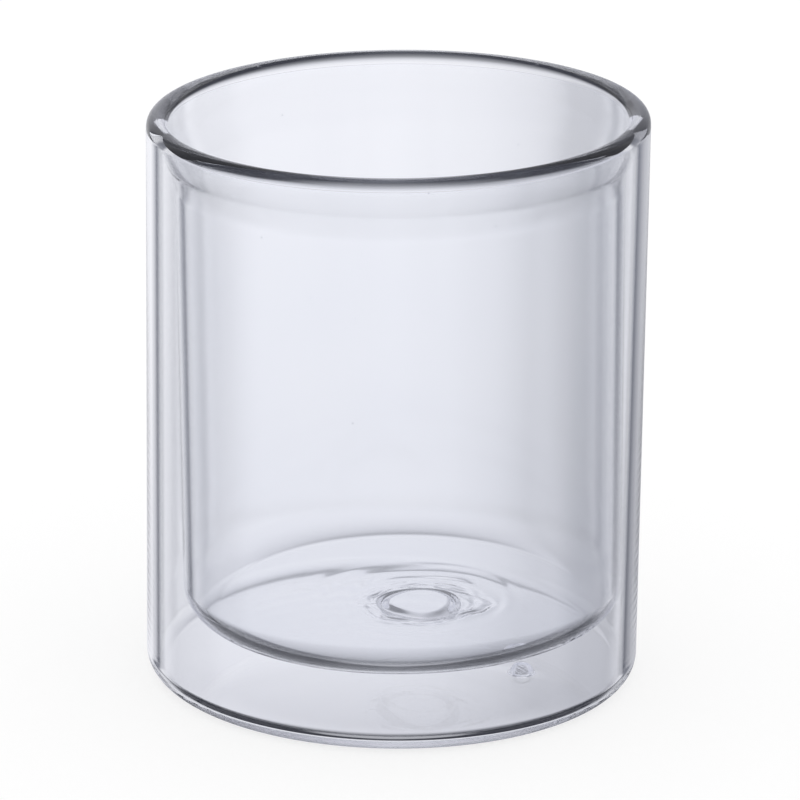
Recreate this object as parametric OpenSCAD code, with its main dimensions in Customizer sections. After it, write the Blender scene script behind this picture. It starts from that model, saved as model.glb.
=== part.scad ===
// Double walled glass tumbler: a straight outer shell and a liner hang from one fused lip,
// with a sealed air gap between them. The liner stands a little askew, as hand work leaves it.
// The origin is the centre of the base on the table, +Z is up and the viewer stands at -Y.

/* [Cup] */
// Outer diameter of the cup
cup_d = 80; // [70:1:96]
// Height of the lip above the table, on the axis
cup_h = 93.5; // [76:0.5:130]

/* [Outer shell] */
// Thickness of the outer wall
shell_wall = 1.8; // [1.5:0.1:2.4]
// Thickness of the shell's floor over the ring that it stands on
shell_floor = 1.8; // [1.6:0.1:3]
// Outer radius of the heel, where the wall turns into the base
heel_r = 3.4; // [2.8:0.1:6]
// Width of the flat ring that the cup stands on
foot_w = 4; // [2:0.5:8]
// Height of the shallow hollow inside that ring
foot_rise = 0.4; // [0.2:0.1:1]

/* [Liner] */
// Thickness of the liner's wall
liner_wall = 1.3; // [1:0.1:1.6]
// Thickness of the liner's floor
liner_floor = 1.4; // [1.2:0.1:3]
// Outer radius of the liner's bottom corner
liner_corner_r = 6; // [3:0.1:8]
// Mean width of the air gap between the walls
air_gap = 2.4; // [2:0.1:5]
// Air gap between the two floors
floor_gap = 8.5; // [5:0.1:14]
// How far the liner's foot stands off the cup's axis
liner_drift = 1.6; // [0:0.1:1.8]

/* [Lip] */
// Width of the air gap's roof, where the walls meet
roof_w = 0.4; // [0.2:0.1:0.8]
// Height of the straight skirt below the lip's rounding
lip_skirt = 0.4; // [0.2:0.1:2]
// Height over which the liner's wall swings out to the lip
flare_h = 9; // [6:0.5:14]

/* [Closing nub] */
// Diameter of the glass nub under the liner's floor
nub_d = 12.4; // [8:0.2:16]
// How far the nub hangs below the floor
nub_h = 1.5; // [0.8:0.1:2.4]
// Diameter of the dimple in the nub
dimple_d = 4.4; // [3:0.2:5]
// Depth of the dimple
dimple_h = 0.6; // [0.2:0.1:0.7]

/* [Vent] */
// Diameter of the vent hole in the shell's floor
vent_d = 2.6; // [2:0.1:3.6]
// Diameter of the drop that seals it
drop_d = 4; // [4:0.1:5]
// Height of the drop above the shell's floor
drop_h = 1.8; // [1.4:0.1:2]
// Width of the thin skirt where the drop has spread on the floor
drop_skirt = 0.3; // [0.2:0.1:0.4]

/* [Hidden] */

// Steps in each arc of an outline
arc_steps = 10;
// Facets of a full turn
$fn = 128;
// How far a cut runs past the solid that it cuts
overrun = 1;
// Where the vent hole lies, seen from above
vent_place = [21.1, -8];
// Where the nub lies from the liner's axis
nub_place = [3, -2];

shell_r = cup_d / 2;
shell_in_r = shell_r - shell_wall;
foot_out_r = shell_r - heel_r;
foot_in_r = foot_out_r - foot_w;

lip_w = shell_wall + roof_w + liner_wall;
lip_r = lip_w / 2;
lip_h = lip_r + lip_skirt;
seat_z = cup_h - lip_h;

liner_r = shell_in_r - air_gap;
liner_mid_r = liner_r - liner_wall / 2;
mouth_mid_r = shell_in_r - roof_w - liner_wall / 2;
liner_h = seat_z - shell_floor - floor_gap;
lean = asin(liner_drift / liner_h);

// The flare is two equal arcs of the wall's centre line, turned opposite ways
flare_turn = 2 * atan((mouth_mid_r - liner_mid_r) / flare_h);
flare_r = flare_h / (2 * sin(flare_turn));

// The sphere that the drop's dome is part of
drop_r = (drop_d * drop_d / 4 + drop_h * drop_h) / (2 * drop_h);

// Points of an arc in an outline, as [radius, height] from the arc's centre
function arc(centre, r, from, to) =
    [for (i = [0:arc_steps])
        let (a = from + (to - from) * i / arc_steps)
        centre + r * [cos(a), sin(a)]];

// One face of the flare, at a distance outside the wall's centre line, from the mouth down
function flare_face(out) = concat(
    arc([mouth_mid_r - flare_r, 0], flare_r + out, 0, -flare_turn),
    arc([liner_mid_r + flare_r, -flare_h], flare_r - out, 180 - flare_turn, 180));

function reversed(list) = [for (i = [len(list) - 1:-1:0]) list[i]];

// Stands its children in the frame of the lip: zero height is the seat under the lip
module at_lip() {
    translate([0, 0, seat_z])
        rotate([0, -lean, 0])
            children();
}

// Filled half outline of a bowl with a round bottom corner
module bowl_outline(r, h, corner) {
    square([r - corner, h]);
    translate([0, corner])
        square([r, h - corner]);
    translate([r - corner, corner])
        circle(corner);
}

// The shallow hollow that leaves the cup standing on a ring
module hollow_outline() {
    hollow_r = (foot_in_r * foot_in_r + foot_rise * foot_rise) / (2 * foot_rise);
    polygon(concat(
        [[0, -overrun], [foot_in_r, -overrun]],
        arc([0, foot_rise - hollow_r], hollow_r, acos(foot_in_r / hollow_r), 90)));
}

module shell_outline() {
    difference() {
        bowl_outline(shell_r, cup_h, heel_r);
        translate([0, shell_floor])
            bowl_outline(shell_in_r, cup_h, heel_r - shell_wall);
        hollow_outline();
    }
}

module outer_shell() {
    color([0.86, 0.88, 0.93, 0.35])
        difference() {
            rotate_extrude()
                shell_outline();
            translate([vent_place.x, vent_place.y, 0])
                cylinder(d = vent_d, h = shell_floor + overrun);
            at_lip()
                translate([-cup_d, -cup_d, 0])
                    cube([2 * cup_d, 2 * cup_d, cup_h]);
        }
}

module liner_outline() {
    inner_corner_r = liner_corner_r - liner_wall;
    inner_r = liner_r - liner_wall;
    polygon(concat(
        flare_face(liner_wall / 2),
        arc([liner_r - liner_corner_r, liner_corner_r - liner_h], liner_corner_r, 0, -90),
        [[0, -liner_h], [0, liner_floor - liner_h]],
        arc([inner_r - inner_corner_r, liner_floor + inner_corner_r - liner_h], inner_corner_r, -90, 0),
        reversed(flare_face(-liner_wall / 2))));
}

// The nub left where the tube's end was closed: a low dome with a dimple in its middle
module closing_nub() {
    nub_r = (nub_d * nub_d / 4 + nub_h * nub_h) / (2 * nub_h);
    dimple_r = (dimple_d * dimple_d / 4 + dimple_h * dimple_h) / (2 * dimple_h);
    difference() {
        intersection() {
            translate([0, 0, nub_r - nub_h])
                sphere(nub_r);
            translate([0, 0, -nub_h])
                cylinder(d = nub_d, h = nub_h + liner_floor / 2);
        }
        translate([0, 0, -nub_h + dimple_h - dimple_r])
            sphere(dimple_r);
    }
}

module inner_liner() {
    color([0.90, 0.92, 0.96, 0.35])
        at_lip()
            union() {
                rotate_extrude()
                    liner_outline();
                translate([nub_place.x, nub_place.y, -liner_h])
                    closing_nub();
            }
}

module lip_outline() {
    translate([shell_r - lip_w, 0])
        square([lip_w, lip_skirt]);
    translate([shell_r - lip_r, lip_skirt])
        intersection() {
            circle(lip_r);
            translate([-lip_r, 0])
                square([lip_w, lip_r]);
        }
}

module lip_seam() {
    color([0.55, 0.58, 0.64, 0.6])
        at_lip()
            rotate_extrude()
                lip_outline();
}

// The drop's half outline: a dome on a skirt that runs out thin
module drop_outline() {
    intersection() {
        translate([0, drop_h - drop_r])
            circle(drop_r);
        square([drop_d / 2, drop_h]);
    }
    polygon([
        [0, 0], [drop_d / 2 + drop_skirt, 0],
        [drop_d / 2 - drop_skirt, 2 * drop_skirt], [0, 2 * drop_skirt]]);
}

module vent_seal() {
    color([0.80, 0.83, 0.88, 0.6])
        translate([vent_place.x, vent_place.y, 0]) {
            translate([0, 0, foot_rise])
                cylinder(d = vent_d, h = shell_floor - foot_rise);
            translate([0, 0, shell_floor])
                rotate_extrude()
                    drop_outline();
        }
}

outer_shell();
inner_liner();
lip_seam();
vent_seal();
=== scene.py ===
"""Looks of a double walled glass tumbler: four pieces of clear glass on a pale studio floor."""

import math

import bmesh
import bpy
from bpy.props import FloatProperty, FloatVectorProperty, IntProperty, PointerProperty
from mathutils import Matrix, Vector, noise


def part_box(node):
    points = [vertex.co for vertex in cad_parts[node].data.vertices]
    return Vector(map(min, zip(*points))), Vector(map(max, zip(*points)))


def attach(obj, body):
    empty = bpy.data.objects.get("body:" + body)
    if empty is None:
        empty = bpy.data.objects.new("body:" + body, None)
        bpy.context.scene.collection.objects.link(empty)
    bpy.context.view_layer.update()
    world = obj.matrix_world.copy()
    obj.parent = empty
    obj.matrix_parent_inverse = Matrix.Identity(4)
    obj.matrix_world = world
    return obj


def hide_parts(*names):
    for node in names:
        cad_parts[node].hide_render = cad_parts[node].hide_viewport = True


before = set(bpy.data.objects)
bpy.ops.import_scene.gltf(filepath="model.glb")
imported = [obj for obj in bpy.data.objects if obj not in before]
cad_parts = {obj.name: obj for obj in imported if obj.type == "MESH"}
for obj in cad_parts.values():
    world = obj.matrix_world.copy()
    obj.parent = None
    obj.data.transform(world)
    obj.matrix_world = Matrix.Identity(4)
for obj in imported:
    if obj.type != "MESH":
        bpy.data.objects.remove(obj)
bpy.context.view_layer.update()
SHELL_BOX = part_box("outer_shell")
DROP_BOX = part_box("vent_seal")

bl_info = {
    "name": "Double Walled Tumbler",
    "version": (1, 0, 0),
    "blender": (4, 5, 0),
    "location": "View3D > Sidebar > Tumbler",
    "description": "Models a double walled glass tumbler and its studio",
    "category": "Add Mesh",
}

# Sizes shared by several pieces, in metres
MM = 0.001
SHELL_R = SHELL_BOX[1].x
# The seam between two pieces: heights that differ by less count as one
HAIR = 0.01 * MM
# The angle from which a fold in the glass is an edge
SHARP = math.radians(35)

# The studio that the glass shows, by height angle in degrees: pale paper, and the grey cards
# that stand in front of it
PAPER = (
    (-90, (0.42, 0.425, 0.46)),
    (-74, (0.38, 0.385, 0.42)),
    (-67, (0.06, 0.065, 0.08)),
    (-50, (0.05, 0.055, 0.07)),
    (-42, (0.14, 0.145, 0.165)),
    (-34, (0.28, 0.285, 0.31)),
    (-31, (0.42, 0.425, 0.46)),
    (-29, (0.54, 0.545, 0.59)),
    (-26, (0.68, 0.685, 0.735)),
    (-22, (0.84, 0.845, 0.895)),
    (-18.5, (0.885, 0.89, 0.935)),
    (-15, (0.93, 0.935, 0.98)),
    (-8, (0.92, 0.925, 0.975)),
    (5, (0.72, 0.73, 0.79)),
    (90, (0.66, 0.67, 0.76)),
)
CARDS = (
    (-90, (0.42, 0.425, 0.46)),
    (-74, (0.38, 0.385, 0.42)),
    (-67, (0.02, 0.022, 0.032)),
    (-46, (0.02, 0.022, 0.032)),
    (-34, (0.06, 0.065, 0.08)),
    (-26, (0.12, 0.125, 0.15)),
    (-17, (0.18, 0.19, 0.23)),
    (-6, (0.28, 0.29, 0.34)),
    (15, (0.50, 0.51, 0.60)),
    (90, (0.60, 0.61, 0.70)),
)
# How much of the card stands at each compass angle in degrees, from behind the cup to its right
CARD_RING = (
    (-95, 0), (-82, 0.7), (-54, 0.7), (-48, 0.1), (-41.5, 0), (-38.5, 1), (-31, 1), (-26, 0),
    (0.8, 0), (2.6, 0.15), (4, 0.4), (12, 0.5), (26, 0.6), (31, 1), (38.5, 1), (41.5, 0),
    (48, 0.1), (54, 0.7), (82, 0.7), (95, 0),
)
# The black cloth that lies low at the cup's left and right: its colour, how much of it shows at
# each height angle, and at each compass angle
CLOTH = (0.02, 0.022, 0.032)
CLOTH_DEPTH = ((-74, 0), (-67, 1), (-34, 1), (-29.5, 0))
CLOTH_RING = (
    (-110, 0), (-100, 1), (-10, 1), (-4, 0), (4, 0), (10, 1), (100, 1), (110, 0),
)


class TumblerSizes(bpy.types.PropertyGroup):
    """Wall thicknesses, roundings and places of the glass."""

    cup_h: FloatProperty(
        name="Height", description="Height of the lip above the table, on the axis",
        default=93.5 * MM, unit="LENGTH")
    shell_wall: FloatProperty(
        name="Shell wall", description="Thickness of the outer wall", default=1.8 * MM,
        unit="LENGTH")
    shell_floor: FloatProperty(
        name="Shell floor", description="Thickness of the shell's floor over its foot",
        default=1.8 * MM, unit="LENGTH")
    heel_r: FloatProperty(
        name="Heel radius", description="Outer radius where the wall meets the base",
        default=3.4 * MM, unit="LENGTH")
    foot_w: FloatProperty(
        name="Foot width", description="Width of the flat ring that the cup stands on",
        default=4.0 * MM, unit="LENGTH")
    foot_rise: FloatProperty(
        name="Foot rise", description="Height of the shallow hollow inside the foot",
        default=0.4 * MM, unit="LENGTH")
    liner_wall: FloatProperty(
        name="Liner wall", description="Thickness of the liner's wall", default=1.3 * MM,
        unit="LENGTH")
    liner_floor: FloatProperty(
        name="Liner floor", description="Thickness of the liner's floor", default=1.4 * MM,
        unit="LENGTH")
    liner_corner_r: FloatProperty(
        name="Liner corner", description="Outer radius of the liner's bottom corner",
        default=6.0 * MM, unit="LENGTH")
    air_gap: FloatProperty(
        name="Air gap", description="Mean gap between the walls", default=2.4 * MM, unit="LENGTH")
    floor_gap: FloatProperty(
        name="Floor gap", description="Gap between the two floors", default=8.5 * MM, unit="LENGTH")
    liner_drift: FloatProperty(
        name="Liner drift", description="How far the liner's foot stands off the axis",
        default=1.6 * MM, unit="LENGTH")
    liner_bow: FloatProperty(
        name="Liner bow", default=0.7 * MM, unit="LENGTH",
        description="Height of the arc that moves the liner's flare and corner off their line")
    roof_w: FloatProperty(
        name="Roof width", description="Width of the air gap's roof under the lip",
        default=0.4 * MM, unit="LENGTH")
    lip_skirt: FloatProperty(
        name="Lip skirt", description="Straight height under the lip's rounding", default=0.4 * MM,
        unit="LENGTH")
    flare_h: FloatProperty(
        name="Flare height", description="Height over which the liner swings out to the lip",
        default=9.0 * MM, unit="LENGTH")
    vent_d: FloatProperty(
        name="Vent", description="Diameter of the vent hole in the shell's floor", default=2.6 * MM,
        unit="LENGTH")
    drop_skirt: FloatProperty(
        name="Drop skirt", description="Width of the drop's thin foot round its dome",
        default=0.3 * MM, unit="LENGTH")
    skirt_h: FloatProperty(
        name="Skirt height", description="Height and rounding of the drop's thin foot",
        default=0.12 * MM, unit="LENGTH")
    skirt_lap: FloatProperty(
        name="Skirt lap", description="How far the thin foot stands off the dome's edge",
        default=0.05 * MM, unit="LENGTH")
    turn_steps: IntProperty(
        name="Steps", description="Steps in a full turn of the glass", default=384, min=32)


class TumblerRelief(bpy.types.PropertyGroup):
    """The marks that spinning and closing the tube left in the liner's floor."""

    nub_x: FloatProperty(
        name="Nub X", description="Place of the nub from the liner's axis", default=3.0 * MM,
        unit="LENGTH")
    nub_y: FloatProperty(
        name="Nub Y", description="Place of the nub from the liner's axis", default=-2.0 * MM,
        unit="LENGTH")
    nub_r: FloatProperty(
        name="Nub radius", description="Radius of the nub's foot under the floor", default=6.9 * MM,
        unit="LENGTH")
    crest_r: FloatProperty(
        name="Crest radius", description="Radius of the nub's round crest", default=6.4 * MM,
        unit="LENGTH")
    pit_r: FloatProperty(
        name="Pit radius", description="Radius of the flat pit inside the crest", default=4.9 * MM,
        unit="LENGTH")
    pit_back: FloatProperty(
        name="Pit offset", description="How far the pit lies behind the nub's middle",
        default=1.6 * MM, unit="LENGTH")
    nub_h: FloatProperty(
        name="Nub height", description="How far the crest hangs below the floor at its sides",
        default=1.5 * MM, unit="LENGTH")
    pit_h: FloatProperty(
        name="Pit height", description="How far the pit hangs below the floor", default=0.1 * MM,
        unit="LENGTH")
    fold_h: FloatProperty(
        name="Fold", description="Height of the melted fold round the nub", default=0.15 * MM,
        unit="LENGTH")
    fold_r: FloatProperty(
        name="Fold radius", description="Radius of the melted fold round the nub", default=8.3 * MM,
        unit="LENGTH")
    fold_w: FloatProperty(
        name="Fold width", description="Half width of the melted fold", default=0.45 * MM,
        unit="LENGTH")
    lobe: FloatProperty(
        name="Lobe", description="How far the fold runs out at the nub's right", default=3.2 * MM,
        unit="LENGTH")
    lobe_turn: FloatProperty(
        name="Lobe turn", description="Half angle over which the fold runs out", default=0.45,
        subtype="ANGLE")
    wander: FloatProperty(
        name="Wander", description="How far the fold strays from its round", default=0.9 * MM,
        unit="LENGTH")
    groove_r: FloatProperty(
        name="Groove", description="How far inside the fold its groove lies", default=1 * MM,
        unit="LENGTH")
    groove_w: FloatProperty(
        name="Groove width", description="Half width of the groove inside the fold",
        default=0.4 * MM, unit="LENGTH")
    ripple_r: FloatProperty(
        name="Ripple radius", description="Radius of the uneven ground round the fold",
        default=8.6 * MM, unit="LENGTH")
    ripple_w: FloatProperty(
        name="Ripple width", description="Half width of that uneven ground", default=1.6 * MM,
        unit="LENGTH")
    ring_h: FloatProperty(
        name="Rings", description="Height of the spin rings on the floor", default=0.02 * MM,
        unit="LENGTH")
    ring_r: FloatProperty(
        name="Rings radius", description="Radius at which the spin rings are highest",
        default=13 * MM, unit="LENGTH")
    ring_w: FloatProperty(
        name="Rings width", description="Half width of the band of spin rings", default=5 * MM,
        unit="LENGTH")
    ring_wave: FloatProperty(
        name="Ring wave", description="Distance from ring to ring, divided by two pi",
        default=0.62 * MM, unit="LENGTH")
    bowl_r: FloatProperty(
        name="Bowl radius", description="Radius of the groove in the floor over the nub",
        default=5.5 * MM, unit="LENGTH")
    bowl_w: FloatProperty(
        name="Bowl width", description="Half width of that groove", default=1.4 * MM, unit="LENGTH")
    reach: FloatProperty(
        name="Reach", description="Radius of the part of the floor that carries marks",
        default=20 * MM, unit="LENGTH")
    calm_w: FloatProperty(
        name="Calm", description="Width over which the marks fade out at that radius",
        default=3 * MM, unit="LENGTH")
    rings: IntProperty(
        name="Mesh rings", description="Rings of faces on each side of the marked floor",
        default=76, min=8)


class TumblerGlass(bpy.types.PropertyGroup):
    """Colour and clearness of the glass."""

    tint: FloatVectorProperty(
        name="Tint", description="Colour of light that has passed a surface", subtype="COLOR",
        default=(0.985, 0.988, 0.994), min=0, max=1)
    cloud: FloatVectorProperty(
        name="Cloud", description="Tint where the glass is a trace denser", subtype="COLOR",
        default=(0.972, 0.977, 0.988), min=0, max=1)
    seed: FloatVectorProperty(
        name="Seeds", description="Tint of the pinhead bubbles and specks in the glass",
        subtype="COLOR", default=(0.55, 0.57, 0.62), min=0, max=1)
    ior: FloatProperty(
        name="Index", description="Refractive index of borosilicate glass", default=1.474, min=1)
    wave_h: FloatProperty(
        name="Draw lines", description="Depth of the lines that drawing leaves along the tube",
        default=0.0015 * MM, unit="LENGTH")
    wave_scale: FloatProperty(
        name="Line scale", description="Fineness of the drawn lines", default=260, min=0)
    wave_stretch: FloatProperty(
        name="Line stretch", description="How little the drawn lines change along the tube",
        default=0.04, min=0)
    cloud_scale: FloatProperty(
        name="Cloud scale", description="Fineness of the cloud", default=55, min=0)
    seed_scale: FloatProperty(
        name="Seed scale", description="How close the seeds stand", default=95, min=0)
    seed_core: FloatProperty(
        name="Seed core", description="Radius of a seed's full tint, over the seeds' spacing",
        default=0.010, min=0)
    seed_edge: FloatProperty(
        name="Seed edge", description="Radius at which a seed's tint ends, over the spacing",
        default=0.018, min=0)


class TumblerStudio(bpy.types.PropertyGroup):
    """Camera and surroundings."""

    elevation: FloatProperty(
        name="Elevation", description="Camera's height angle", subtype="ANGLE",
        default=math.radians(18.43))
    distance: FloatProperty(
        name="Distance", description="Camera's distance from the cup's middle", default=0.848,
        unit="LENGTH")
    roll: FloatProperty(
        name="Roll", description="Camera's roll", subtype="ANGLE", default=math.radians(0.75))
    lens: FloatProperty(
        name="Lens", description="Focal length in millimetres on the sensor", default=236.8)
    sensor: FloatProperty(
        name="Sensor", description="Width of the camera's sensor in millimetres", default=36)
    shift_x: FloatProperty(
        name="Shift X", description="Camera's sideways shift in frames", default=0.00636)
    shift_y: FloatProperty(
        name="Shift Y", description="Camera's upright shift in frames", default=-0.01067)
    aim_h: FloatProperty(
        name="Aim", description="Height that the camera looks at", default=46.78 * MM,
        unit="LENGTH")
    bounces: IntProperty(
        name="Bounces", description="How often light may turn inside the glass", default=64, min=1)
    floor_r: FloatProperty(
        name="Floor", description="Radius of the pale floor", default=3, unit="LENGTH")
    white: FloatProperty(
        name="White", description="Level of the open floor, a trace over the white behind it",
        default=1.02, min=0)
    shade: FloatProperty(
        name="Shade", description="Share of the floor's white that the cup can take away",
        default=0.25, min=0, max=1, subtype="FACTOR")


class Wire:
    """A number that runs through a node tree: sums and products of wires add their Math nodes."""

    def __init__(self, tree, socket):
        self.tree = tree
        self.socket = socket

    def maths(self, operation, first, second):
        sockets = {0: first, 1: second}
        return self.tree.add("ShaderNodeMath", {"operation": operation}, sockets).wire()

    def __add__(self, other):
        return self.maths("ADD", self, other)

    def __mul__(self, other):
        return self.maths("MULTIPLY", self, other)

    def __rmul__(self, other):
        return self.maths("MULTIPLY", other, self)

    def __truediv__(self, other):
        return self.maths("DIVIDE", self, other)


class Added:
    """A node that has just been added, which hands out wires from its outputs."""

    def __init__(self, tree, node):
        self.tree = tree
        self.node = node

    def wire(self, output=0):
        return Wire(self.tree, self.node.outputs[output])


class Nodes:
    """A material's or the world's node tree."""

    def __init__(self, owner):
        owner.use_nodes = True
        self.tree = owner.node_tree
        self.tree.nodes.clear()

    def add(self, kind, settings=None, values=None):
        """Adds a node of any type: its settings first, then its sockets' values and links."""
        node = self.tree.nodes.new(kind)
        for name, value in (settings or {}).items():
            if name == "stops":
                self.fill(node.color_ramp, value)
            else:
                setattr(node, name, value)
        for socket, value in (values or {}).items():
            if isinstance(value, Wire):
                self.tree.links.new(value.socket, node.inputs[socket])
            else:
                node.inputs[socket].default_value = value
        return Added(self, node)

    def fill(self, ramp, stops):
        ramp.elements.remove(ramp.elements[1])
        for index, (place, colour) in enumerate(stops):
            stop = ramp.elements[0] if index == 0 else ramp.elements.new(place)
            stop.position = place
            stop.color = (*colour, 1)

    def blend(self, share, first, second):
        """Mixes two colours by a wire."""
        mixed = self.add("ShaderNodeMix", {"data_type": "RGBA"}, {0: share, 6: first, 7: second})
        return mixed.wire(2)

    def in_glass(self):
        """1 for light that comes through glass or off it, and 0 for what the eye sees directly."""
        path = self.add("ShaderNodeLightPath")
        through = path.wire("Is Transmission Ray")
        return through.maths("MAXIMUM", through, path.wire("Is Glossy Ray"))


class Outline:
    """A half section drawn corner by corner, with bevelled corners, and spun into glass."""

    def __init__(self):
        self.bm = bmesh.new()
        self.last = None
        self.rounds = []

    def corner(self, radius, height, rounding=0.0, steps=12):
        vert = self.bm.verts.new((radius, 0, height))
        if self.last:
            self.bm.edges.new((self.last, vert))
        if rounding:
            self.rounds.append((vert, rounding, steps))
        self.last = vert
        return vert

    def close(self, first):
        self.bm.edges.new((self.last, first))

    def run(self, radius, height, steps):
        """A straight stretch with many rings, from the last corner to this one."""
        start = self.last.co.copy()
        for index in range(1, steps + 1):
            point = start.lerp(Vector((radius, 0, height)), index / steps)
            self.corner(point.x, point.z)

    def spin(self, steps):
        for vert, rounding, segments in self.rounds:
            bmesh.ops.bevel(self.bm, geom=[vert], offset=rounding, offset_type="OFFSET",
                            segments=segments, profile=0.5, affect="VERTICES", material=-1,
                            clamp_overlap=False)
        bmesh.ops.spin(self.bm, geom=self.bm.verts[:] + self.bm.edges[:], cent=(0, 0, 0),
                       axis=(0, 0, 1), angle=math.tau, steps=steps, use_merge=True)
        bmesh.ops.remove_doubles(self.bm, verts=self.bm.verts, dist=0.1 * HAIR)
        bmesh.ops.recalc_face_normals(self.bm, faces=self.bm.faces)
        return self.bm


def sizes():
    return bpy.context.scene.tumbler_sizes


def lip_width():
    s = sizes()
    return s.shell_wall + s.roof_w + s.liner_wall


def seat_height():
    s = sizes()
    return s.cup_h - lip_width() / 2 - s.lip_skirt


def liner_depth():
    s = sizes()
    return seat_height() - s.shell_floor - s.floor_gap


def lean():
    return math.asin(sizes().liner_drift / liner_depth())


def ease(share):
    """A share that starts and ends softly."""
    share = min(1, max(0, share))
    return share * share * (3 - 2 * share)


def to_lip_frame(bm):
    """Turns a mesh made about the seat under the lip into its leaning place in the cup."""
    matrix = Matrix.Translation((0, 0, seat_height())) @ Matrix.Rotation(-lean(), 4, "Y")
    bmesh.ops.transform(bm, matrix=matrix, verts=bm.verts)


def flare(out):
    """Two corners of one face of the liner's flare, mouth first: radius, height, tangent length."""
    s = sizes()
    liner_mid = SHELL_R - s.shell_wall - s.air_gap - s.liner_wall / 2
    mouth_mid = SHELL_R - s.shell_wall - s.roof_w - s.liner_wall / 2
    turn = 2 * math.atan((mouth_mid - liner_mid) / s.flare_h)
    radius = s.flare_h / (2 * math.sin(turn))
    reach = math.tan(turn / 2)
    upper = (radius + out) * reach
    lower = (radius - out) * reach
    return (mouth_mid + out, -upper, upper), (liner_mid + out, lower - s.flare_h, lower)


def link(name, bm, materials):
    """Makes the mesh an object with these materials."""
    mesh = bpy.data.meshes.new(name)
    bm.to_mesh(mesh)
    bm.free()
    obj = bpy.data.objects.new(name, mesh)
    bpy.context.scene.collection.objects.link(obj)
    for material in materials:
        mesh.materials.append(material)
    return obj


def piece(name, bm, node, slot):
    """Makes the mesh an object of the cup that stands for its node."""
    obj = link(name, bm, [glass(slot), weld()])
    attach(obj, "root")
    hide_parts(node)
    return obj


def mark_weld(bm, welded):
    """Gives the faces where two pieces have melted into one their own slot."""
    for face in bm.faces:
        if welded(face.calc_center_median()):
            face.material_index = 1


def swell(distance, width):
    """A bell's height at this distance from its middle."""
    return math.exp(-(distance / width) ** 2)


def smooth(bm):
    """Smooth faces, with hard edges round every weld and every sharp fold."""
    for face in bm.faces:
        face.smooth = True
    for edge in bm.edges:
        welds = {face.material_index for face in edge.link_faces}
        edge.smooth = len(welds) == 1 and edge.calc_face_angle(0) < SHARP


def glass(slot):
    """Clear glass with a trace of cloud, pinhead seeds and the faint lines of drawn tube."""
    look = bpy.context.scene.tumbler_glass
    material = bpy.data.materials.new("clear_" + slot)
    tree = Nodes(material)
    place = tree.add("ShaderNodeTexCoord").wire("Object")
    cloud = tree.add("ShaderNodeTexNoise", {}, {
        "Vector": place, "Scale": look.cloud_scale, "Detail": 0}).wire()
    bubble = tree.add("ShaderNodeTexVoronoi", {}, {
        "Vector": place, "Scale": look.seed_scale}).wire("Distance")
    seed = tree.add("ShaderNodeMapRange", {}, {
        "Value": bubble, "From Min": look.seed_core, "From Max": look.seed_edge,
        "To Min": 1, "To Max": 0}).wire()
    clear = tree.blend(cloud, (*look.tint, 1), (*look.cloud, 1))
    colour = tree.blend(seed, clear, (*look.seed, 1))
    along = tree.add("ShaderNodeMapping", {}, {
        "Vector": place, "Scale": (1, 1, look.wave_stretch)}).wire()
    lines = tree.add("ShaderNodeTexNoise", {}, {
        "Vector": along, "Scale": look.wave_scale, "Detail": 0}).wire()
    relief = tree.add("ShaderNodeBump", {}, {"Distance": look.wave_h, "Height": lines}).wire()
    shader = tree.add("ShaderNodeBsdfPrincipled", {}, {
        "Base Color": colour, "Roughness": 0, "IOR": look.ior, "Transmission Weight": 1,
        "Normal": relief})
    tree.add("ShaderNodeOutputMaterial", {}, {"Surface": shader.wire()})
    return material


def weld():
    """The joint inside melted glass: light goes straight through."""
    material = bpy.data.materials.get("weld")
    if not material:
        material = bpy.data.materials.new("weld")
        tree = Nodes(material)
        clear = tree.add("ShaderNodeBsdfTransparent").wire()
        tree.add("ShaderNodeOutputMaterial", {}, {"Surface": clear})
    return material


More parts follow.
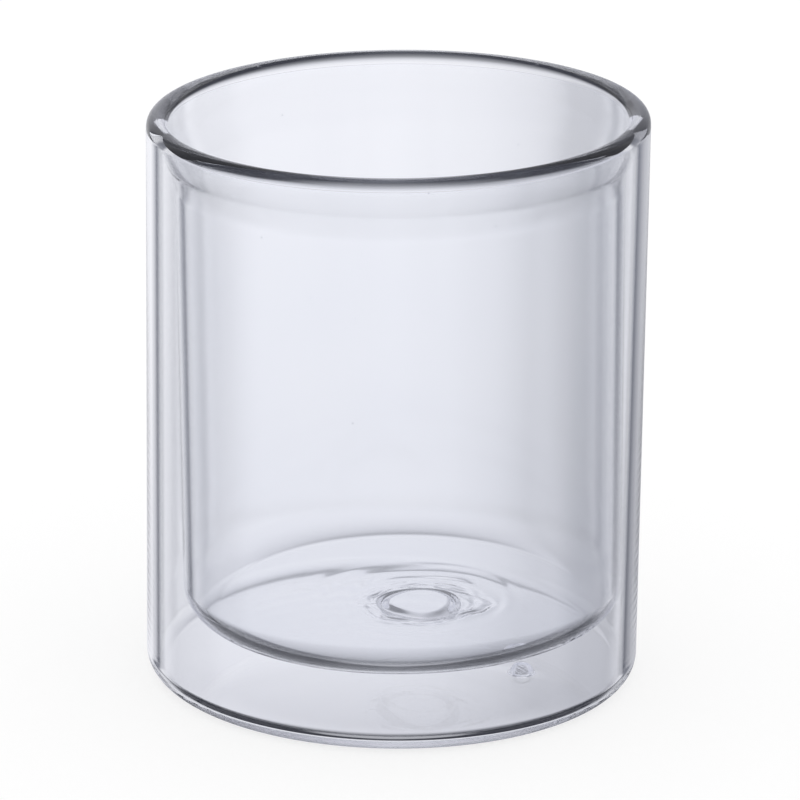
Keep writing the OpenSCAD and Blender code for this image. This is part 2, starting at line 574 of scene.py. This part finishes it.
class TUMBLER_OT_outer_shell(bpy.types.Operator):
    """Models the outer shell, with the hollow under its floor and the vent hole"""

    bl_idname = "tumbler.outer_shell"
    bl_label = "Outer Shell"

    def execute(self, context):
        s = sizes()
        outline = Outline()
        inner_r = SHELL_R - s.shell_wall
        foot_in = SHELL_R - s.heel_r - s.foot_w
        hollow_r = (foot_in ** 2 + s.foot_rise ** 2) / (2 * s.foot_rise)
        seat = seat_height()
        rings = 16
        for index in range(rings + 1):
            radius = foot_in * index / rings
            outline.corner(radius, s.foot_rise - hollow_r + math.sqrt(hollow_r ** 2 - radius ** 2))
        outline.corner(SHELL_R, 0, s.heel_r, steps=24)
        outline.corner(SHELL_R, seat)
        outline.corner(inner_r, seat)
        outline.corner(inner_r, s.shell_floor, s.heel_r - s.shell_wall, steps=16)
        outline.corner(0, s.shell_floor)
        bm = outline.spin(s.turn_steps)
        mark_weld(bm, lambda centre: centre.z > seat - HAIR)
        for vert in bm.verts:
            if vert.co.z > seat - HAIR:
                vert.co.z += vert.co.x * math.tan(lean())
        smooth(bm)
        shell = piece("outer_shell_glass", bm, "outer_shell", "shell_glass")
        self.bore(context, shell)
        return {"FINISHED"}

    def bore(self, context, shell):
        """Cuts the vent hole."""
        s = sizes()
        place = (DROP_BOX[0] + DROP_BOX[1]) / 2
        depth = 4 * s.shell_floor
        bm = bmesh.new()
        bmesh.ops.create_cone(bm, cap_ends=True, segments=s.turn_steps // 2,
                              radius1=s.vent_d / 2, radius2=s.vent_d / 2, depth=depth,
                              matrix=Matrix.Translation((place.x, place.y, 0)))
        smooth(bm)
        cutter = link("cutter", bm, [shell.data.materials[0]])
        cut = shell.modifiers.new("bore", "BOOLEAN")
        cut.object = cutter
        cut.solver = "EXACT"
        uncut = len(shell.data.polygons)
        graph = context.evaluated_depsgraph_get()
        bored = bpy.data.meshes.new_from_object(shell.evaluated_get(graph))
        if len(bored.polygons) <= uncut:
            raise RuntimeError("The vent hole was not cut")
        shell.modifiers.clear()
        bm = bmesh.new()
        bm.from_mesh(bored)
        smooth(bm)
        bm.to_mesh(bored)
        bm.free()
        shell.data = bored
        bpy.data.objects.remove(cutter)


class TUMBLER_OT_inner_liner(bpy.types.Operator):
    """Models the liner, with its flare, its floor and the nub under it"""

    bl_idname = "tumbler.inner_liner"
    bl_label = "Inner Liner"

    def execute(self, context):
        s = sizes()
        marks = context.scene.tumbler_relief
        depth = liner_depth()
        outline = Outline()
        mouth, wall = flare(s.liner_wall / 2)
        first = outline.corner(mouth[0], 0)
        outline.corner(*mouth)
        outline.corner(*wall)
        outline.corner(wall[0], -depth, s.liner_corner_r, steps=24)
        outline.corner(marks.reach, -depth)
        outline.run(0, -depth, marks.rings)
        outline.last = None
        outline.corner(0, s.liner_floor - depth)
        outline.run(marks.reach, s.liner_floor - depth, marks.rings)
        mouth, wall = flare(-s.liner_wall / 2)
        outline.corner(wall[0], s.liner_floor - depth, s.liner_corner_r - s.liner_wall, steps=20)
        outline.corner(*wall)
        outline.corner(*mouth)
        outline.corner(mouth[0], 0)
        outline.close(first)
        bm = outline.spin(s.turn_steps)
        mark_weld(bm, lambda centre: centre.z > -HAIR)
        smooth(bm)
        # The straight wall has rings at its two ends alone, so it moves by what the arc gives there
        for vert in bm.verts:
            vert.co.x += s.liner_bow * math.sin(math.pi * min(1, -vert.co.z / depth))
        self.relief(marks, bm, depth)
        to_lip_frame(bm)
        piece("inner_liner_glass", bm, "inner_liner", "liner_glass")
        return {"FINISHED"}

    def relief(self, marks, bm, depth):
        """Raises the nub, its melted fold and the spin rings out of the flat floor."""
        top = sizes().liner_floor - depth
        for vert in bm.verts:
            radius = vert.co.xy.length
            if vert.co.z > top + HAIR or radius > marks.reach - HAIR:
                continue
            across = vert.co.xy - Vector((marks.nub_x, marks.nub_y))
            place = Vector((vert.co.x, vert.co.y, 0)) / MM
            calm = min(1, (marks.reach - radius) / marks.calm_w)
            if vert.co.z < HAIR - depth:
                vert.co.z -= self.nub(marks, across) + self.fold(marks, across, place) * calm
            else:
                vert.co.z += self.spin_marks(marks, across, place, calm)

    def fold(self, marks, across, place):
        """The melted fold round the nub: broken, pulled out at the right, on uneven ground."""
        out = across.length
        turn = math.atan2(across.y, across.x)
        lobe = marks.lobe * swell(turn, marks.lobe_turn)
        crest = out - marks.fold_r - lobe - marks.wander * noise.noise(place * 0.35)
        there = max(0, 0.5 + 1.3 * noise.noise(Vector((turn * 1.7, 5, 1))))
        groove = 0.5 * swell(crest + marks.groove_r, marks.groove_w)
        ridge = swell(crest, marks.fold_w) - groove
        ripple = noise.noise(Vector((turn * 3, out / MM * 1.2, 3)))
        ripple *= swell(out - marks.ripple_r, marks.ripple_w)
        return marks.fold_h * (ridge * there + 0.7 * ripple)

    def spin_marks(self, marks, across, place, calm):
        """The rings that spinning left on the floor's upper side, and the groove over the nub."""
        out = across.length
        turn = math.atan2(across.y, across.x)
        wave = math.sin(out / marks.ring_wave + 1.5 * noise.noise(place * 0.12))
        streak = 0.35 + 2.5 * max(0, noise.noise(Vector((turn * 1.3, out / MM * 0.25, 7))))
        rings = swell(out - marks.ring_r, marks.ring_w) * wave * streak
        return marks.ring_h * (rings * calm - swell(out - marks.bowl_r, marks.bowl_w))

    def nub(self, marks, across):
        """How far the nub hangs here: a crest, low in front and behind, round a flat pit."""
        turn = math.atan2(across.y, across.x)
        across = across * (1 + 0.05 * math.sin(2 * turn + 0.6) + 0.04 * math.sin(3 * turn + 2.1))
        out = across.length
        side = 0.15 + 0.85 * (across.x / max(out, HAIR)) ** 2
        crest_h = marks.pit_h + (marks.nub_h - marks.pit_h) * side
        if out > marks.crest_r:
            return crest_h * ease((marks.nub_r - out) / (marks.nub_r - marks.crest_r))
        slope = max(0, (across - Vector((0, marks.pit_back))).length - marks.pit_r)
        share = ease(slope / max(HAIR, slope + marks.crest_r - out))
        return marks.pit_h + (crest_h - marks.pit_h) * share


class TUMBLER_OT_lip_seam(bpy.types.Operator):
    """Models the melted lip"""

    bl_idname = "tumbler.lip_seam"
    bl_label = "Lip Seam"

    def execute(self, context):
        s = sizes()
        width = lip_width()
        top = width / 2 + s.lip_skirt
        inner = SHELL_R - width
        liner_edge = inner + s.liner_wall
        shell_edge = SHELL_R - s.shell_wall
        # A trace less than half the width, so that the two roundings don't meet in one point
        rounding = width / 2 - HAIR / 10
        outline = Outline()
        first = outline.corner(inner, 0)
        outline.corner(liner_edge, 0)
        outline.corner(shell_edge, 0)
        outline.corner(SHELL_R, 0)
        outline.corner(SHELL_R, top, rounding, steps=16)
        outline.corner(inner, top, rounding, steps=16)
        outline.close(first)
        bm = outline.spin(s.turn_steps)
        mark_weld(bm, lambda centre: centre.z < HAIR
                  and not liner_edge < math.hypot(centre.x, centre.y) < shell_edge)
        smooth(bm)
        to_lip_frame(bm)
        piece("lip_seam_glass", bm, "lip_seam", "lip_glass")
        return {"FINISHED"}


class TUMBLER_OT_vent_seal(bpy.types.Operator):
    """Models the drop that closes the vent hole: a stem under a dome with a thin foot"""

    bl_idname = "tumbler.vent_seal"
    bl_label = "Vent Seal"

    def execute(self, context):
        s = sizes()
        place = (DROP_BOX[0] + DROP_BOX[1]) / 2
        reach = (DROP_BOX[1].x - DROP_BOX[0].x) / 2 - HAIR
        top = DROP_BOX[1].z - HAIR
        base = s.shell_floor + HAIR
        stem = s.vent_d / 2 - 2 * HAIR
        dome = reach - s.drop_skirt
        ball = (dome ** 2 + (top - base) ** 2) / (2 * (top - base))
        outline = Outline()
        outline.corner(0, s.foot_rise + HAIR)
        outline.corner(stem, s.foot_rise + HAIR)
        outline.corner(stem, base)
        outline.corner(reach, base)
        outline.corner(dome + s.skirt_lap, base + s.skirt_h, s.skirt_h, steps=6)
        rings = 24
        first_ring, pole = 16, 90
        for index in range(rings):
            up = math.radians(first_ring + (pole - first_ring) * index / rings)
            outline.corner(ball * math.cos(up), top - ball + ball * math.sin(up))
        outline.corner(0, top)
        bm = outline.spin(s.turn_steps // 2)
        smooth(bm)
        bmesh.ops.translate(bm, vec=(place.x, place.y, 0), verts=bm.verts)
        piece("vent_seal_glass", bm, "vent_seal", "drop_glass")
        return {"FINISHED"}


class TUMBLER_OT_studio(bpy.types.Operator):
    """Sets up the camera, the floor and the surroundings"""

    bl_idname = "tumbler.studio"
    bl_label = "Studio"

    def execute(self, context):
        self.camera(context)
        self.world(context)
        self.floor(context)
        context.scene.view_settings.view_transform = "Standard"
        bounces = context.scene.tumbler_studio.bounces
        context.scene.cycles.max_bounces = bounces
        context.scene.cycles.transmission_bounces = bounces
        context.scene.cycles.glossy_bounces = bounces
        return {"FINISHED"}

    def camera(self, context):
        studio = context.scene.tumbler_studio
        data = bpy.data.cameras.new("camera")
        data.sensor_width = studio.sensor
        data.lens = studio.lens
        data.shift_x = studio.shift_x
        data.shift_y = studio.shift_y
        data.clip_start = 10 * MM
        camera = bpy.data.objects.new("camera", data)
        context.scene.collection.objects.link(camera)
        back = Vector((0, -math.cos(studio.elevation), math.sin(studio.elevation)))
        right = Vector((1, 0, 0))
        up = back.cross(right)
        turned = Matrix((right, up, back)).transposed() @ Matrix.Rotation(studio.roll, 3, "Z")
        place = Vector((0, 0, studio.aim_h)) + back * studio.distance
        camera.matrix_world = Matrix.Translation(place) @ turned.to_4x4()
        context.scene.camera = camera

    def world(self, context):
        """White for the eye and the floor; paper, cards and cloth for what the glass shows."""
        world = bpy.data.worlds.new("studio")
        context.scene.world = world
        tree = Nodes(world)
        place = tree.add("ShaderNodeTexCoord").wire("Generated")
        split = tree.add("ShaderNodeSeparateXYZ", {}, {0: place})
        height = 0.5 * split.wire("Z") + 0.5
        across = split.wire("X")
        compass = across.maths("ARCTAN2", across, split.wire("Y")) / math.tau + 0.5
        paper = self.bands(tree, height, PAPER)
        cards = self.bands(tree, height, CARDS)
        depth = self.bands(tree, height, [(up, (share,) * 3) for up, share in CLOTH_DEPTH])
        card_ring = self.ring(tree, compass, CARD_RING)
        cloth_ring = self.ring(tree, compass, CLOTH_RING)
        room = tree.blend(depth * cloth_ring, tree.blend(card_ring, paper, cards), (*CLOTH, 1))
        seen = tree.blend(tree.in_glass(), (1, 1, 1, 1), room)
        background = tree.add("ShaderNodeBackground", {}, {"Color": seen}).wire()
        tree.add("ShaderNodeOutputWorld", {}, {"Surface": background})

    def bands(self, tree, height, levels):
        """Levels by height angle."""
        stops = [((math.sin(math.radians(up)) + 1) / 2, colour) for up, colour in levels]
        return tree.add("ShaderNodeValToRGB", {"stops": stops}, {0: height}).wire()

    def ring(self, tree, compass, shares):
        """Shares by compass angle."""
        stops = [(angle / 360 + 0.5, (share,) * 3) for angle, share in shares]
        return tree.add("ShaderNodeValToRGB", {"stops": stops}, {0: compass}).wire()

    def floor(self, context):
        """White paper that keeps the cup's shadow and lets the room below show in the glass."""
        studio = context.scene.tumbler_studio
        bm = bmesh.new()
        bmesh.ops.create_circle(bm, cap_ends=True, radius=studio.floor_r, segments=128)
        material = bpy.data.materials.new("floor")
        tree = Nodes(material)
        shade = tree.add("ShaderNodeBsdfDiffuse", {}, {"Color": (studio.shade,) * 3 + (1,)}).wire()
        glow = studio.white - studio.shade
        white = tree.add("ShaderNodeEmission", {}, {"Strength": glow}).wire()
        paper = tree.add("ShaderNodeAddShader", {}, {0: shade, 1: white}).wire()
        clear = tree.add("ShaderNodeBsdfTransparent").wire()
        surface = tree.add("ShaderNodeMixShader", {}, {
            0: tree.in_glass(), 1: paper, 2: clear}).wire()
        tree.add("ShaderNodeOutputMaterial", {}, {"Surface": surface})
        link("floor", bm, [material])


OPERATORS = (TUMBLER_OT_studio, TUMBLER_OT_outer_shell, TUMBLER_OT_inner_liner,
             TUMBLER_OT_lip_seam, TUMBLER_OT_vent_seal)
GROUPS = {"tumbler_sizes": TumblerSizes, "tumbler_relief": TumblerRelief,
          "tumbler_glass": TumblerGlass, "tumbler_studio": TumblerStudio}


class TUMBLER_PT_sidebar(bpy.types.Panel):
    """Lists the tumbler's sizes and the button of each piece"""

    bl_idname = "TUMBLER_PT_sidebar"
    bl_label = "Double Walled Tumbler"
    bl_space_type = "VIEW_3D"
    bl_region_type = "UI"
    bl_category = "Tumbler"

    def draw(self, context):
        for operator in OPERATORS:
            self.layout.operator(operator.bl_idname)
        for name, group in GROUPS.items():
            box = self.layout.box()
            for setting in group.__annotations__:
                box.prop(getattr(context.scene, name), setting)


def register():
    for cls in (*GROUPS.values(), *OPERATORS, TUMBLER_PT_sidebar):
        bpy.utils.register_class(cls)
    for name, group in GROUPS.items():
        setattr(bpy.types.Scene, name, PointerProperty(type=group))


def unregister():
    for name in GROUPS:
        delattr(bpy.types.Scene, name)
    for cls in (TUMBLER_PT_sidebar, *reversed(OPERATORS), *reversed(GROUPS.values())):
        bpy.utils.unregister_class(cls)


def main():
    register()
    bpy.ops.tumbler.studio()
    bpy.ops.tumbler.outer_shell()
    bpy.ops.tumbler.inner_liner()
    bpy.ops.tumbler.lip_seam()
    bpy.ops.tumbler.vent_seal()


if __name__ == "__main__":
    main()
